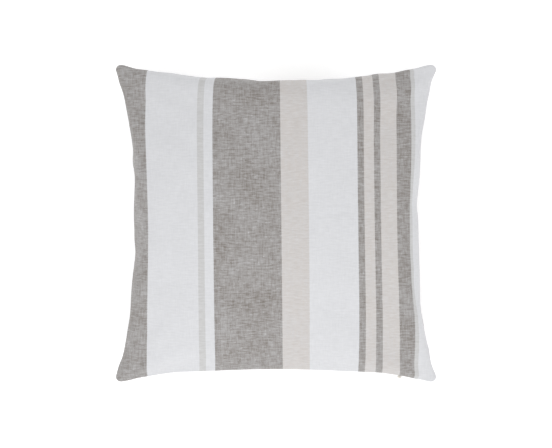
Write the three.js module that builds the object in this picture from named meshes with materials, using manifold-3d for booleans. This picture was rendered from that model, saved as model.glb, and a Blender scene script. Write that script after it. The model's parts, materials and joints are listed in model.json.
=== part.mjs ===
// A square knife-edge throw pillow, lying on its back panel with the striped front panel up.
// A removable cover of two linen panels closes with a concealed zip in its bottom seam, and holds a
// cotton insert stuffed with fibre. Millimetres, +Z up; the origin is the middle of the face it rests on,
// X runs along the zip and +Y points to the edge opposite it.
import * as THREE from "three";
import { mergeVertices } from "three/addons/utils/BufferGeometryUtils.js";
import Module from "manifold-3d";

const wasm = await Module();
wasm.setup();

// ---- Driving dimensions ----
const cornerSpan = 486; // corner tip to corner tip along one side, once stuffed
const sideDraw = 26; // how far the middle of each side draws in between its corners
const frontLoft = 92; // crown of the front panel above the seam plane
const backLoft = 92; // the same below it, before the weight flattens the back
const seamHeight = 82; // seam plane above the surface that the pillow rests on
const panelCells = 16; // cells along each side of a panel
const tipSharpness = 30; // how closely the parting of the panels' edges keeps to the corner tips

const linenThickness = 0.8;
const cambricThickness = 0.5; // the insert's casing
const fit = 0.3; // gap that stands for two layers touching
const coverAllowance = 12; // seam allowance turned inside the cover
const insertAllowance = 8;
const seamFace = 0.5; // each allowance's face above or below the seam plane
const threadThickness = 0.4;
const coverStitchInset = 1.3; // stitch line, in from the folded edge
const insertInset = 15; // the insert's edge, in from the cover's edge

const zipSetback = 53; // from each corner to where the slider stops
const slitHalf = 0.6; // half the slit between the two folded edges at the zip
const slitFade = 12; // past each end of the zip, where the slit closes
const slitSharpness = 40; // how closely the slit keeps to the bottom edge
const hemTrim = 1; // how much shorter the allowance is cut along the zip
const tapeWidth = 12.7;
const tapeMargin = 3; // tape past each stop
const tapeHeadroom = 2.5; // under the panel, from the tape's edge
const tapeThickness = 0.5;
const tapeStitchEnd = 1; // the tape's stitches stop this short of its ends
const steepestLean = 80; // degrees
const coilWidth = 1.4; // across one row, away from the seam plane
const coilDepth = 1.2;
const coilFace = 0.55; // the rows' heads, above or below the seam plane
const coilChamfer = 0.3;
const stopLength = 3;
const stopWall = 0.6; // how much a stop stands proud of its row
const sliderLength = 9;
const sliderWall = 0.6;
const sliderPlate = 1;
const plateChamferRun = 1; // along the slider, at each end of its plate
const plateChamferDepth = 0.3;
const rootDepth = 0.2; // how far one part of the slider is let into the next
const neckHalf = 0.25; // half the thickness of the neck that runs in the slit
const neckLength = 5;
const bridgeBar = 0.9; // thickness of the bridge's outer bar
const bridgeHalf = 0.5; // half its height
const bridgeLeg = 1.2;
const bridgeStandoff = 0.4; // from the folded edges to the bridge
const bridgeFoot = 0.6;
const pullEyeWall = 0.6;
const pullEyeWidth = 3;
const eyeSlack = 0.15; // between the eye and the bridge's foot, besides the fit
const pullLength = 22; // eye centre to tip
const pullWidth = 5;
const pullThickness = 1;

const labelWidth = 25;
const labelThickness = 0.4;
const labelRoot = 3; // where it starts, in from the edge
const labelAlong = 110; // from the middle of the left side
// Its corners past the allowance: in from the insert's edge, and above the allowance.
const labelCorners = [[-1, 4], [1, 14], [4, 24]];

const arcStep = 20; // longest straight step along the zip's arc
const ribbonSteps = 12; // along each side of a seam ribbon
const weldDistance = 1e-4;

// ---- Rim: each side is an arc whose centre lies outside the pillow ----
const halfSpan = cornerSpan / 2;
const rimRadius = (halfSpan ** 2 + sideDraw ** 2) / (2 * sideDraw);
const rimCentre = halfSpan - sideDraw + rimRadius; // from the middle of the pillow

// Distance of the edge from the pillow's middle, at a place along a side and an inset from the edge.
function rimAcross(along, inset) {
  return rimCentre - Math.sqrt((rimRadius + inset) ** 2 - along ** 2);
}

// Where two sides at that inset meet: the same distance along and across.
function rimCorner(inset) {
  return (rimCentre - Math.sqrt(2 * (rimRadius + inset) ** 2 - rimCentre ** 2)) / 2;
}

// A frame on one side's seam line: x along the side, y inwards, z up. Side 0 is the bottom, then right,
// top and left; along is measured on the arc from the middle of the side.
function onRim(side, along, object) {
  const turn = along / rimRadius;
  const spot = new THREE.Group();
  spot.rotation.z = (side * Math.PI) / 2;
  const place = new THREE.Group();
  place.position.set(rimRadius * Math.sin(turn), rimRadius * Math.cos(turn) - rimCentre, seamHeight);
  place.rotation.z = -turn;
  place.add(object);
  spot.add(place);
  return spot;
}

// ---- Solids ----
const toSolid = (geometry) => {
  const bare = geometry.index ? geometry.clone() : geometry;
  bare.deleteAttribute("normal");
  bare.deleteAttribute("uv");
  const merged = mergeVertices(bare, weldDistance);
  return new wasm.Manifold(
    new wasm.Mesh({
      numProp: 3,
      vertProperties: new Float32Array(merged.getAttribute("position").array),
      triVerts: new Uint32Array(merged.index.array),
    }),
  );
};

const toGeometry = (solid) => {
  const mesh = solid.getMesh();
  const geometry = new THREE.BufferGeometry();
  geometry.setAttribute("position", new THREE.BufferAttribute(new Float32Array(mesh.vertProperties), 3));
  geometry.setIndex(new THREE.BufferAttribute(new Uint32Array(mesh.triVerts), 1));
  geometry.computeVertexNormals();
  return geometry;
};

const join = (...pieces) => {
  const solids = pieces.map((piece) => (piece instanceof THREE.BufferGeometry ? toSolid(piece) : piece));
  return toGeometry(solids.reduce((whole, next) => whole.add(next)));
};

// ---- Materials ----
const finish = (color, roughness, metalness = 0) =>
  new THREE.MeshStandardMaterial({ color, roughness, metalness });
const linen = finish(0xd6d3d0, 0.95);
const cambric = finish(0xf2f1ed, 0.9);
const fibre = finish(0xf8f8f6, 1);
const thread = finish(0xe4e1db, 0.8);
const zipTape = finish(0xe6e3dd, 0.9);
const zipCoil = finish(0xebe8e2, 0.45);
const enamel = finish(0xe9e6e0, 0.35, 0.2);
const satin = finish(0xf4f3ef, 0.5);

const pillow = new THREE.Group();

function addPiece(name, geometry, material, parent = pillow) {
  const piece = new THREE.Mesh(geometry, material);
  piece.name = name;
  parent.add(piece);
  return piece;
}

// ---- Panels ----
// A panel is crowned: its height falls off as the product of two cosines, so that it is full in the
// middle, steep at the sides and flat in the corners, where the tips part to let the stitches round.
function crownPoint(acrossShare, alongShare, { inset, loft, lip, rimGap }) {
  const [bendX, bendY] = [acrossShare, alongShare].map((share) => (share * Math.PI) / 2);
  const [u, v] = [Math.sin(bendX), Math.sin(bendY)];
  const corner = rimCorner(inset);
  const x = u * (corner + (rimAcross(corner * v, inset) - corner) * u ** 2);
  const y = v * (corner + (rimAcross(corner * u, inset) - corner) * v ** 2);
  const gap = rimGap(x, v) + (seamFace - fit / 2) * Math.abs(u * v) ** tipSharpness;
  const crown = gap + lip + (loft - gap - lip) * Math.cos(bendX) * Math.cos(bendY);
  return { x, y, gap, crown };
}

// The space under a crown, down to the folded edge or, to cut a hollow, to past the seam plane.
function crownedSolid({ pastSeam, ...sizes }) {
  const sheet = new THREE.BoxGeometry(2, 2, 2, panelCells, panelCells, 1);
  const at = sheet.getAttribute("position");
  for (let i = 0; i < at.count; i++) {
    const { x, y, gap, crown } = crownPoint(at.getX(i), at.getY(i), sizes);
    at.setXYZ(i, x, y, at.getZ(i) > 0 ? crown : pastSeam ? -1 : gap);
  }
  return toSolid(sheet);
}

// Facing is 1 for a front panel and -1 for a back one, which is pressed flat at the floor.
function settle(solid, facing, floor) {
  return solid.scale([1, 1, facing]).translate([0, 0, seamHeight]).trimByPlane([0, 0, 1], floor);
}

function crownedPanel({ inset, loft, thickness, facing, floor, rimGap }) {
  const outer = crownedSolid({ inset, loft, lip: thickness / 2, rimGap });
  const inner = crownedSolid({
    inset: inset + thickness,
    loft: loft - thickness,
    lip: 0,
    rimGap,
    pastSeam: true,
  });
  return settle(outer, facing, floor).subtract(settle(inner, facing, floor + thickness));
}

// A flat ribbon in the seam, between two insets from the edge, all round or open along the bottom side
// where the zip is.
function seamRibbon({ outer, inner, low, high, openHalf = 0 }) {
  const edge = (inset) => {
    const points = [];
    const corner = rimCorner(inset);
    for (let side = 0; side <= 4; side++) {
      const from = side === 0 ? openHalf : -corner;
      const to = side === 4 ? -openHalf : corner;
      for (let i = 0; i < ribbonSteps; i++) {
        const along = from + ((to - from) * i) / (ribbonSteps - (side === 4 ? 1 : 0));
        const spot = new THREE.Vector2(along, -rimAcross(along, inset));
        points.push(spot.rotateAround(new THREE.Vector2(), (side * Math.PI) / 2));
      }
    }
    return points;
  };
  const outline = openHalf
    ? new THREE.Shape([...edge(outer), ...edge(inner).reverse()])
    : new THREE.Shape(edge(outer).slice(0, -1));
  if (!openHalf) outline.holes.push(new THREE.Path(edge(inner).slice(0, -1)));
  const ribbon = new THREE.ExtrudeGeometry(outline, { depth: high - low, bevelEnabled: false });
  return ribbon.translate(0, 0, seamHeight + low);
}

// ---- Sections carried along the zip's arc ----
class ZipArc extends THREE.Curve {
  constructor(from, to) {
    super();
    this.from = from;
    this.to = to;
  }
  getPoint(t, target = new THREE.Vector3()) {
    const turn = (this.from + (this.to - this.from) * t) / rimRadius;
    return target.set(rimRadius * Math.sin(turn), rimRadius * Math.cos(turn) - rimCentre, seamHeight);
  }
}

// Section corners are [inset, height above the seam plane]; facing turns them below it.
function alongZip(section, facing, from, to) {
  const outline = new THREE.Shape(
    section.map(([inset, height]) => new THREE.Vector2(-facing * height, inset)),
  );
  const steps = Math.max(1, Math.ceil((to - from) / arcStep));
  return new THREE.ExtrudeGeometry(outline, { steps, extrudePath: new ZipArc(from, to) });
}

// A strip of the given thickness and width that leans inwards from a foot.
function leaningStrip([inset, height], width, thickness, lean) {
  const [run, rise] = [Math.sin(lean), Math.cos(lean)];
  return [
    [inset, height],
    [inset + thickness * rise, height - thickness * run],
    [inset + thickness * rise + width * run, height - thickness * run + width * rise],
    [inset + width * run, height + width * rise],
  ];
}

// ---- Zip layout, in from the folded edge ----
const zipTravel = cornerSpan - 2 * zipSetback;
const coilEnd = zipTravel / 2 + sliderLength / 2 + fit;
const tapeEnd = coilEnd + stopLength + tapeMargin;
const openHalf = tapeEnd + 2 * fit;

// Where a strip that leans inwards from the slit starts, past what lies between it and the edge.
const footAt = (lean, thickness, past) => [
  linenThickness / 2 + past / Math.cos(lean),
  slitHalf + thickness * Math.sin(lean),
];

// The least lean, in whole degrees, that keeps the tape's edge under the panel where the zip ends.
function leanUnderPanel() {
  const loft = Math.min(frontLoft, backLoft) - linenThickness;
  const narrowing = Math.sqrt(1 - (tapeEnd / halfSpan) ** 2);
  const headroom = (degrees) => {
    const lean = THREE.MathUtils.degToRad(degrees);
    const [inset, height] = footAt(lean, tapeThickness, linenThickness + fit);
    const edge = 1 - (inset + tapeWidth * Math.sin(lean)) / halfSpan;
    return loft * narrowing * Math.sqrt(1 - edge ** 2) - height - tapeWidth * Math.cos(lean);
  };
  let degrees = 0;
  while (degrees < steepestLean && headroom(degrees) < tapeHeadroom) degrees++;
  return THREE.MathUtils.degToRad(degrees);
}

const zipLean = leanUnderPanel();
const hemFoot = footAt(zipLean, linenThickness, 0);
const tapeFoot = footAt(zipLean, tapeThickness, linenThickness + fit);
const coilInset =
  tapeFoot[0] +
  tapeThickness / Math.cos(zipLean) +
  fit +
  (coilFace + coilWidth - slitHalf) * Math.tan(zipLean);
const plateInset = coilInset + coilDepth + fit;

// The cover's edges part a little along the zip, and lie together elsewhere.
function coverRimGap(x, v) {
  const past = THREE.MathUtils.smoothstep(Math.abs(x), openHalf, openHalf + slitFade);
  const near = Math.max(0, -v) ** slitSharpness;
  return fit / 2 + (slitHalf - fit / 2) * near * (1 - past);
}
const insertRimGap = () => fit / 2;

// ---- Cover ----
function coverPanel(facing, loft) {
  const sheet = crownedPanel({
    inset: 0,
    loft,
    thickness: linenThickness,
    facing,
    floor: 0,
    rimGap: coverRimGap,
  });
  const faces = [seamFace, seamFace + linenThickness].map((face) => facing * face);
  const allowance = seamRibbon({
    outer: linenThickness / 2,
    inner: coverAllowance,
    low: Math.min(...faces),
    high: Math.max(...faces),
    openHalf,
  });
  const hem = alongZip(
    leaningStrip(hemFoot, coverAllowance - hemTrim, linenThickness, zipLean),
    facing,
    -tapeEnd,
    tapeEnd,
  );
  return join(sheet, allowance, hem);
}
addPiece("cover_front_panel", coverPanel(1, frontLoft), linen);
addPiece("cover_back_panel", coverPanel(-1, backLoft), linen);
addPiece(
  "cover_seam_thread",
  seamRibbon({
    outer: coverStitchInset,
    inner: coverStitchInset + threadThickness,
    low: -threadThickness / 2,
    high: threadThickness / 2,
    openHalf,
  }),
  thread,
);

// ---- Insert ----
const insertFloor = linenThickness + fit;
function insertPanel(facing, loft) {
  const sheet = crownedPanel({
    inset: insertInset,
    loft: loft - linenThickness - fit,
    thickness: cambricThickness,
    facing,
    floor: insertFloor,
    rimGap: insertRimGap,
  });
  const faces = [seamFace, seamFace + cambricThickness].map((face) => facing * face);
  const allowance = seamRibbon({
    outer: insertInset + cambricThickness / 2,
    inner: insertInset + insertAllowance,
    low: Math.min(...faces),
    high: Math.max(...faces),
  });
  return join(sheet, allowance);
}
addPiece("insert_front_panel", insertPanel(1, frontLoft), cambric);
addPiece("insert_back_panel", insertPanel(-1, backLoft), cambric);
addPiece(
  "insert_seam_thread",
  seamRibbon({
    outer: insertInset + coverStitchInset,
    inner: insertInset + coverStitchInset + threadThickness,
    low: -threadThickness / 2,
    high: threadThickness / 2,
  }),
  thread,
);

// The stuffing fills the insert inside its seam allowance.
const fillFloor = insertFloor + cambricThickness + fit;
const [fillFront, fillBack] = [[1, frontLoft], [-1, backLoft]].map(([facing, loft]) => {
  const half = crownedSolid({
    inset: insertInset + insertAllowance + fit,
    loft: loft - fillFloor,
    lip: threadThickness,
    rimGap: () => 0,
    pastSeam: true,
  });
  return settle(half, facing, fillFloor);
});
addPiece("fibre_filling", join(fillFront, fillBack), fibre);

// ---- Zip ----
for (const [half, facing] of [["front", 1], ["back", -1]]) {
  const tape = leaningStrip(tapeFoot, tapeWidth, tapeThickness, zipLean);
  addPiece(`zip_tape_${half}`, alongZip(tape, facing, -tapeEnd, tapeEnd), zipTape);

  const row = [
    [coilInset, coilFace + coilChamfer],
    [coilInset + coilChamfer, coilFace],
    [coilInset + coilDepth - coilChamfer, coilFace],
    [coilInset + coilDepth, coilFace + coilChamfer],
    [coilInset + coilDepth, coilFace + coilWidth],
    [coilInset, coilFace + coilWidth],
  ];
  addPiece(`zip_coil_${half}`, alongZip(row, facing, -coilEnd, coilEnd), zipCoil);

  // The stitch line runs two thirds of the way up the tape, on its inner face.
  const climb = (tapeWidth * 2) / 3;
  const offset = tapeThickness + fit;
  const line = leaningStrip(
    [
      tapeFoot[0] + climb * Math.sin(zipLean) + offset * Math.cos(zipLean),
      tapeFoot[1] + climb * Math.cos(zipLean) - offset * Math.sin(zipLean),
    ],
    threadThickness,
    threadThickness,
    zipLean,
  );
  const stitchEnd = tapeEnd - tapeStitchEnd;
  addPiece(`zip_stitching_${half}`, alongZip(line, facing, -stitchEnd, stitchEnd), thread);

  // A stop is clamped over each row where the closed slider comes to rest.
  const stop = [
    [coilInset, coilFace],
    [coilInset + coilDepth + stopWall, coilFace],
    [coilInset + coilDepth + stopWall, coilFace + coilWidth],
    [coilInset, coilFace + coilWidth],
  ];
  const from = coilEnd + fit;
  addPiece(`zip_top_stop_${half}`, alongZip(stop, facing, from, from + stopLength), enamel);
}

// The bottom stop holds both rows together at the other end.
const bottomStop = [
  [coilInset, -coilFace - coilWidth],
  [coilInset + coilDepth + stopWall, -coilFace - coilWidth],
  [coilInset + coilDepth + stopWall, coilFace + coilWidth],
  [coilInset, coilFace + coilWidth],
];
addPiece(
  "zip_bottom_stop",
  alongZip(bottomStop, 1, -coilEnd - fit - stopLength, -coilEnd - fit),
  enamel,
);

// ---- Slider: a plate and two walls round the rows, a neck through the slit, and a bridge outside ----
const wallFace = coilFace + coilWidth + fit;
const eyeRadius = Math.hypot(bridgeBar / 2, bridgeHalf) + fit;
const barInset = -bridgeStandoff - bridgeFoot - fit - eyeSlack - pullEyeWall - eyeRadius;
const bridgeOut = barInset - bridgeBar / 2;
const sliderRest = zipTravel / 2;

// Extrudes an outline given as [along, inset] corners through a height about the seam plane.
function slab(corners, low, high) {
  const outline = new THREE.Shape(corners.map(([along, inset]) => new THREE.Vector2(along, inset)));
  const made = new THREE.ExtrudeGeometry(outline, { depth: high - low, bevelEnabled: false });
  return made.translate(0, 0, low);
}

const box = (from, to, near, far) => [[from, near], [to, near], [to, far], [from, far]];

function sliderBody() {
  const half = sliderLength / 2;
  const wallOuter = wallFace + sliderWall;
  const plate = slab(
    [
      [-half, plateInset],
      [half, plateInset],
      [half, plateInset + sliderPlate - plateChamferDepth],
      [half - plateChamferRun, plateInset + sliderPlate],
      [plateChamferRun - half, plateInset + sliderPlate],
      [-half, plateInset + sliderPlate - plateChamferDepth],
    ],
    -wallOuter,
    wallOuter,
  );
  const wallNear = coilInset + coilWidth * Math.tan(zipLean);
  const walls = [-wallOuter, wallFace].map((low) =>
    slab(box(-half, half, wallNear, plateInset + rootDepth), low, low + sliderWall),
  );
  const neck = slab(
    box(-neckLength / 2, neckLength / 2, -bridgeStandoff - rootDepth, plateInset + rootDepth),
    -neckHalf,
    neckHalf,
  );
  const reach = pullEyeWidth / 2 + fit;
  const frame = new THREE.Shape(
    box(-reach - bridgeLeg, reach + bridgeLeg, bridgeOut, -bridgeStandoff).map(
      ([along, inset]) => new THREE.Vector2(along, inset),
    ),
  );
  const window = box(-reach, reach, barInset + bridgeBar / 2, -bridgeStandoff - bridgeFoot);
  frame.holes.push(new THREE.Path(window.map(([along, inset]) => new THREE.Vector2(along, inset))));
  const bridge = new THREE.ExtrudeGeometry(frame, { depth: 2 * bridgeHalf, bevelEnabled: false });
  return join(plate, ...walls, neck, bridge.translate(0, 0, -bridgeHalf));
}

// The pull hangs from the bar by a round eye, and widens to a rounded tip.
function pullTab() {
  const ring = new THREE.Shape().absarc(0, 0, eyeRadius + pullEyeWall, 0, 2 * Math.PI, false);
  ring.holes.push(new THREE.Path().absarc(0, 0, eyeRadius, 0, 2 * Math.PI, true));
  const eye = new THREE.ExtrudeGeometry(ring, {
    depth: pullEyeWidth,
    bevelEnabled: false,
    curveSegments: 10,
  });
  eye.translate(0, 0, -pullEyeWidth / 2);
  eye.rotateX(Math.PI / 2);
  eye.rotateZ(Math.PI / 2);

  const plateRoot = -eyeRadius - pullEyeWall / 3;
  const tip = pullLength - pullWidth / 2;
  const drop = new THREE.Shape();
  drop.moveTo(-pullEyeWidth / 2, plateRoot);
  drop.lineTo(-pullWidth / 2, -tip);
  drop.absarc(0, -tip, pullWidth / 2, Math.PI, 2 * Math.PI, false);
  drop.lineTo(pullEyeWidth / 2, plateRoot);
  const plate = new THREE.ExtrudeGeometry(drop, {
    depth: pullThickness,
    bevelEnabled: false,
    curveSegments: 8,
  });
  plate.translate(0, 0, -pullThickness / 2);
  plate.rotateX(Math.PI / 2);
  return join(eye, plate);
}

const slider = new THREE.Group();
addPiece("zip_slider_body", sliderBody(), enamel, slider);
const pull = addPiece("zip_pull_tab", pullTab(), enamel, slider);
pull.position.y = barInset;
pillow.add(onRim(0, sliderRest, slider));

// ---- Care label: a strip sewn in at one end ----
// The path's corners are [inset, height]; the strip is labelWidth wide along the side.
function label(path) {
  const up = path.map(([inset, height]) => new THREE.Vector2(inset, height));
  const back = up.map((point, i) => {
    const next = up[Math.min(i + 1, up.length - 1)].clone().sub(up[Math.max(i - 1, 0)]).normalize();
    return point.clone().add(new THREE.Vector2(-next.y, next.x).multiplyScalar(labelThickness));
  });
  const strip = new THREE.ExtrudeGeometry(new THREE.Shape([...up, ...back.reverse()]), {
    depth: labelWidth,
    bevelEnabled: false,
  });
  strip.translate(0, 0, -labelWidth / 2);
  return strip.rotateX(Math.PI / 2).rotateZ(Math.PI / 2);
}

const allowanceTop = seamFace + linenThickness;
const careLabel = new THREE.Group();
addPiece(
  "care_label",
  label([
    [labelRoot, allowanceTop + fit],
    [insertInset - labelRoot, allowanceTop + fit],
    ...labelCorners.map(([inset, height]) => [insertInset + inset, allowanceTop + height]),
  ]),
  satin,
  careLabel,
);
pillow.add(onRim(3, labelAlong, careLabel));

export default pillow;
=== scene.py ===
"""A striped linen throw pillow: a zipped cover, sewn and inflated as cloth, over a stuffed insert.

Everything is in metres, in the frame's own axes: +Z is up out of the front panel, X runs along the zip
and the zip is on the -Y side.
"""

import functools
import json
import math

import bpy
import numpy as np
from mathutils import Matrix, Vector


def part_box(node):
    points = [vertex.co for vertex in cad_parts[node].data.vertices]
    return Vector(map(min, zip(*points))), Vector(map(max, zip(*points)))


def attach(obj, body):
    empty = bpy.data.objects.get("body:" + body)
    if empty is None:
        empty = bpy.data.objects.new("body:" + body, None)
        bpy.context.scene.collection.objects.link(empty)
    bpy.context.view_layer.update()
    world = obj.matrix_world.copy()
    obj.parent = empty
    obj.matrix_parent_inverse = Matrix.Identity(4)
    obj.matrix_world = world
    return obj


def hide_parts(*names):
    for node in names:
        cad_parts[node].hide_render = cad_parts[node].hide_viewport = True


bl_info = {
    "name": "Striped Linen Pillow",
    "version": (1, 0, 0),
    "blender": (4, 5, 0),
    "location": "View3D > Sidebar > Pillow",
    "description": "Sews, stuffs and dresses a zipped throw pillow in striped linen",
    "category": "Add Mesh",
}

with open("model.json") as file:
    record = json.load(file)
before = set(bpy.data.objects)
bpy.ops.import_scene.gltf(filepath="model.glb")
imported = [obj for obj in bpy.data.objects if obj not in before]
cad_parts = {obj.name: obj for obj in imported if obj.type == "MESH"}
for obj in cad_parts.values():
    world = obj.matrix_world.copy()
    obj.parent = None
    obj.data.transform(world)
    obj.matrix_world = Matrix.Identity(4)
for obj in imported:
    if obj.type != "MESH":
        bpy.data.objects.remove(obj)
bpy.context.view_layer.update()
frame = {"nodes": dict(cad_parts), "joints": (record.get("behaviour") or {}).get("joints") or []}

MM = 0.001
TAU = 2 * math.pi

# ---- Measures from the frame: each side of the rim is an arc round a centre outside the pillow ----
joints = {joint["name"]: joint for joint in frame["joints"]}
arc_centre = joints["zip_travel"]["pos_m"]
seam_z = arc_centre[2]
centre_far = -arc_centre[1]
half_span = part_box("cover_front_panel")[1].x
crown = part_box("cover_front_panel")[1].z - seam_z
rim_radius = math.hypot(half_span, centre_far - half_span)


def points_of(name):
    """The vertices of one of the frame's nodes."""
    mesh = frame["nodes"][name].data
    points = np.zeros(len(mesh.vertices) * 3)
    mesh.vertices.foreach_get("co", points)
    return points.reshape(-1, 3)


def zip_section(name):
    """A zip node's lowest and highest place along the arc, inset from it and rise over the seam plane."""
    x, y, z = points_of(name).T
    out = y + centre_far
    place = np.stack([np.arctan2(x, out) * rim_radius, np.hypot(x, out) - rim_radius, z - seam_z])
    return place.min(axis=1), place.max(axis=1)


zip_end = zip_section("zip_tape_front")[1][0]

# ---- How it is sewn and filled ----
SEAM_GAP = 0.45 * MM  # from the seam plane to the folded edge's outermost line
SLIT_GAP = 0.3 * MM  # more of it beside the zip
SLIT_FADE = 12 * MM  # past each end of the zip, where the slit closes
GAP_WIDTH = 3 * MM  # in from the rim, over which the cloth comes off the seam plane by that gap
FILL_WIDTH = 14 * MM  # in from the rim, over which the filling swells the cloth most
WARP_BOW = 6.7 * MM  # how far the outermost stripes bow with the left and right sides
TUG_DEPTH = 34 * MM  # in from a seam, over which a tug on the stripes fades
SEAM_BAND = 55 * MM  # next to the seams, where the cloth's stretch is evened
PRESSED = 2.5 * MM  # how sharply the back turns where it lies on the floor
CASING_SHARE = (0.93, 0.98)  # the casing's half width and height, as shares of the cover's
CASING_CLOTH = 0.45 * MM
FILLING_SHARE = (0.885, 0.96)
LUMPS = 2 * MM  # depth of the hollows between the filling's lumps
LABEL_WIDTH = 25 * MM
LABEL_CLOTH = 0.36 * MM
LABEL_HELD = 20 * MM  # above the seam plane, up to where it is kept from curling
LABEL_CURL = 0.7 * MM

# ---- How the rim wanders from the frame's arcs ----
CORNER_PROUD = 0.17  # how far outside the frame's corner the sides meet, as a share of tip_reach
TIP_CUT = 0.3  # how much of tip_reach is cut off at the very corner
STRAIGHT_TIP = 1.04  # half a side over its length without the straight stretch at its tip
SIDE_POWER = 3
BOTTOM_EASE = 0.018
WANDER = 2.0 * MM  # in and out
WANDER_UP = 2.2 * MM
WANDER_FADE = 0.12  # next to each corner, as a share of half a side

# The warp, from the left edge of the front: yarn and width in millimetres.
WARP = (
    ("grey", 53.0),
    ("white", 77.0),
    ("pin", 9.5),
    ("white", 12.5),
    ("grey", 100.5),
    ("oat", 40.5),
    ("white", 72.5),
    ("grey", 10.0),
    ("oat", 14.5),
    ("grey", 10.0),
    ("oat", 24.0),
    ("grey", 21.0),
    ("pin", 7.0),
    ("white", 38.5),
)


# ---- Settings ----
class PillowCloth(bpy.types.PropertyGroup):
    flat_side: bpy.props.FloatProperty(
        name="Flat side", description="Side of the empty cover", default=0.498, unit="LENGTH"
    )
    thickness: bpy.props.FloatProperty(
        name="Linen thickness", description="One layer of cloth", default=0.8 * MM, unit="LENGTH"
    )
    cells: bpy.props.IntProperty(name="Cells", description="Simulated cells a side", default=96)
    frames: bpy.props.IntProperty(name="Frames", description="Length of the inflation", default=34)
    pressure: bpy.props.FloatProperty(name="Pressure", description="Of the stuffing", default=8)
    bending: bpy.props.FloatProperty(name="Bending", description="Stiffness in folds", default=3)
    cell_size: bpy.props.FloatProperty(
        name="Mesh cell", description="Finished cell", default=2.7 * MM, unit="LENGTH"
    )
    side_draw: bpy.props.FloatProperty(
        name="Side draw", description="Of the left and right sides", default=31 * MM, unit="LENGTH"
    )
    tip_reach: bpy.props.FloatProperty(
        name="Tip reach", description="Of a side, rounded off at its tip", default=17 * MM, unit="LENGTH"
    )
    plumpness: bpy.props.FloatProperty(
        name="Plumpness", description="Fullness just inside the seam", default=15 * MM, unit="LENGTH"
    )


class PillowYarns(bpy.types.PropertyGroup):
    white: bpy.props.FloatVectorProperty(
        name="White", description="Bleached yarn", subtype="COLOR", default=(0.685, 0.690, 0.71)
    )
    grey: bpy.props.FloatVectorProperty(
        name="Grey", description="Dark flax yarn", subtype="COLOR", default=(0.148, 0.121, 0.097)
    )
    oat: bpy.props.FloatVectorProperty(
        name="Oat", description="Pale flax yarn", subtype="COLOR", default=(0.557, 0.517, 0.487)
    )
    pin: bpy.props.FloatVectorProperty(
        name="Pin", description="Yarn of the pin stripes", subtype="COLOR", default=(0.52, 0.515, 0.505)
    )
    skew: bpy.props.FloatProperty(
        name="Skew", description="Drift of the stripes, as a share of the length", default=0.011
    )
    pitch: bpy.props.FloatProperty(
        name="Yarn pitch", description="Between neighbouring yarns", default=0.8 * MM, unit="LENGTH"
    )


class PillowZip(bpy.types.PropertyGroup):
    turn: bpy.props.FloatProperty(
        name="Coil pitch", description="Between turns of the coil", default=1.3 * MM, unit="LENGTH"
    )
    wire: bpy.props.FloatProperty(
        name="Coil wire", description="Radius of the monofilament", default=0.27 * MM, unit="LENGTH"
    )
    stitch: bpy.props.FloatProperty(
        name="Stitch", description="Length of one stitch", default=2.8 * MM, unit="LENGTH"
    )
    thread: bpy.props.FloatProperty(
        name="Thread", description="Radius of the sewing thread", default=0.17 * MM, unit="LENGTH"
    )


class PillowStage(bpy.types.PropertyGroup):
    view_width: bpy.props.FloatProperty(
        name="View width", description="Seen at the seam plane", default=0.8435, unit="LENGTH"
    )
    distance: bpy.props.FloatProperty(
        name="Camera height", description="Above the seam plane", default=2.6, unit="LENGTH"
    )
    key_power: bpy.props.FloatProperty(name="Key", description="Watts", default=20.5)
    glow: bpy.props.FloatProperty(name="Floor glow", description="Light out of the table", default=0.3)
    sky: bpy.props.FloatProperty(name="Sky", description="Strength of the fill", default=0.72)


def settings(name):
    return getattr(bpy.context.scene, name)


# ---- Meshes ----
def put_mesh(name, points, faces, material, body="pillow", cloth=None, corners=4):
    """Makes a smooth, closed piece from points (n, 3) and faces, with its faces turned outwards.

    The faces are a list, or an array where all have the same number of corners. cloth holds each
    point's place on the flat cloth in metres, and becomes the UV map of that name, with half a metre
    added so that it is positive.
    """
    mesh = bpy.data.meshes.new(name)
    points = np.ascontiguousarray(points, dtype=np.float32).reshape(-1, 3)
    if isinstance(faces, list):
        mesh.from_pydata(points, [], faces)
    else:
        mesh.vertices.add(len(points))
        mesh.vertices.foreach_set("co", points.ravel())
        mesh.loops.add(faces.size)
        mesh.loops.foreach_set("vertex_index", faces.ravel().astype(np.int32))
        mesh.polygons.add(len(faces))
        mesh.polygons.foreach_set("loop_start", np.arange(0, faces.size, corners, dtype=np.int32))
    mesh.update(calc_edges=True)
    mesh.validate()
    mesh.polygons.foreach_set("use_smooth", np.ones(len(mesh.polygons), bool))
    if cloth is not None:
        uv = mesh.uv_layers.new(name="cloth")
        corner = np.zeros(len(mesh.loops), np.int32)
        mesh.loops.foreach_get("vertex_index", corner)
        uv.data.foreach_set("uv", (cloth.reshape(-1, 2)[corner] + 0.5).astype(np.float32).ravel())
    mesh.materials.append(material)
    face_outwards(mesh)
    piece = bpy.data.objects.new(name, mesh)
    bpy.context.scene.collection.objects.link(piece)
    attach(piece, body)
    return piece


def stand_for(piece, node):
    """Hides the frame's node that a piece stands for, and gives back the piece."""
    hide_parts(node)
    return piece


def quads(index):
    """The quads between the points of a grid of indices."""
    corners = [index[:-1, :-1], index[1:, :-1], index[1:, 1:], index[:-1, 1:]]
    return np.stack(corners, axis=-1).reshape(-1, 4)


def grid_faces(rows, columns, wrap=False, start=0):
    """The quads of a grid of points, closed across its columns if it wraps."""
    index = np.arange(rows * columns).reshape(rows, columns) + start
    if wrap:
        index = np.concatenate([index, index[:, :1]], axis=1)
    return quads(index)


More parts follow.
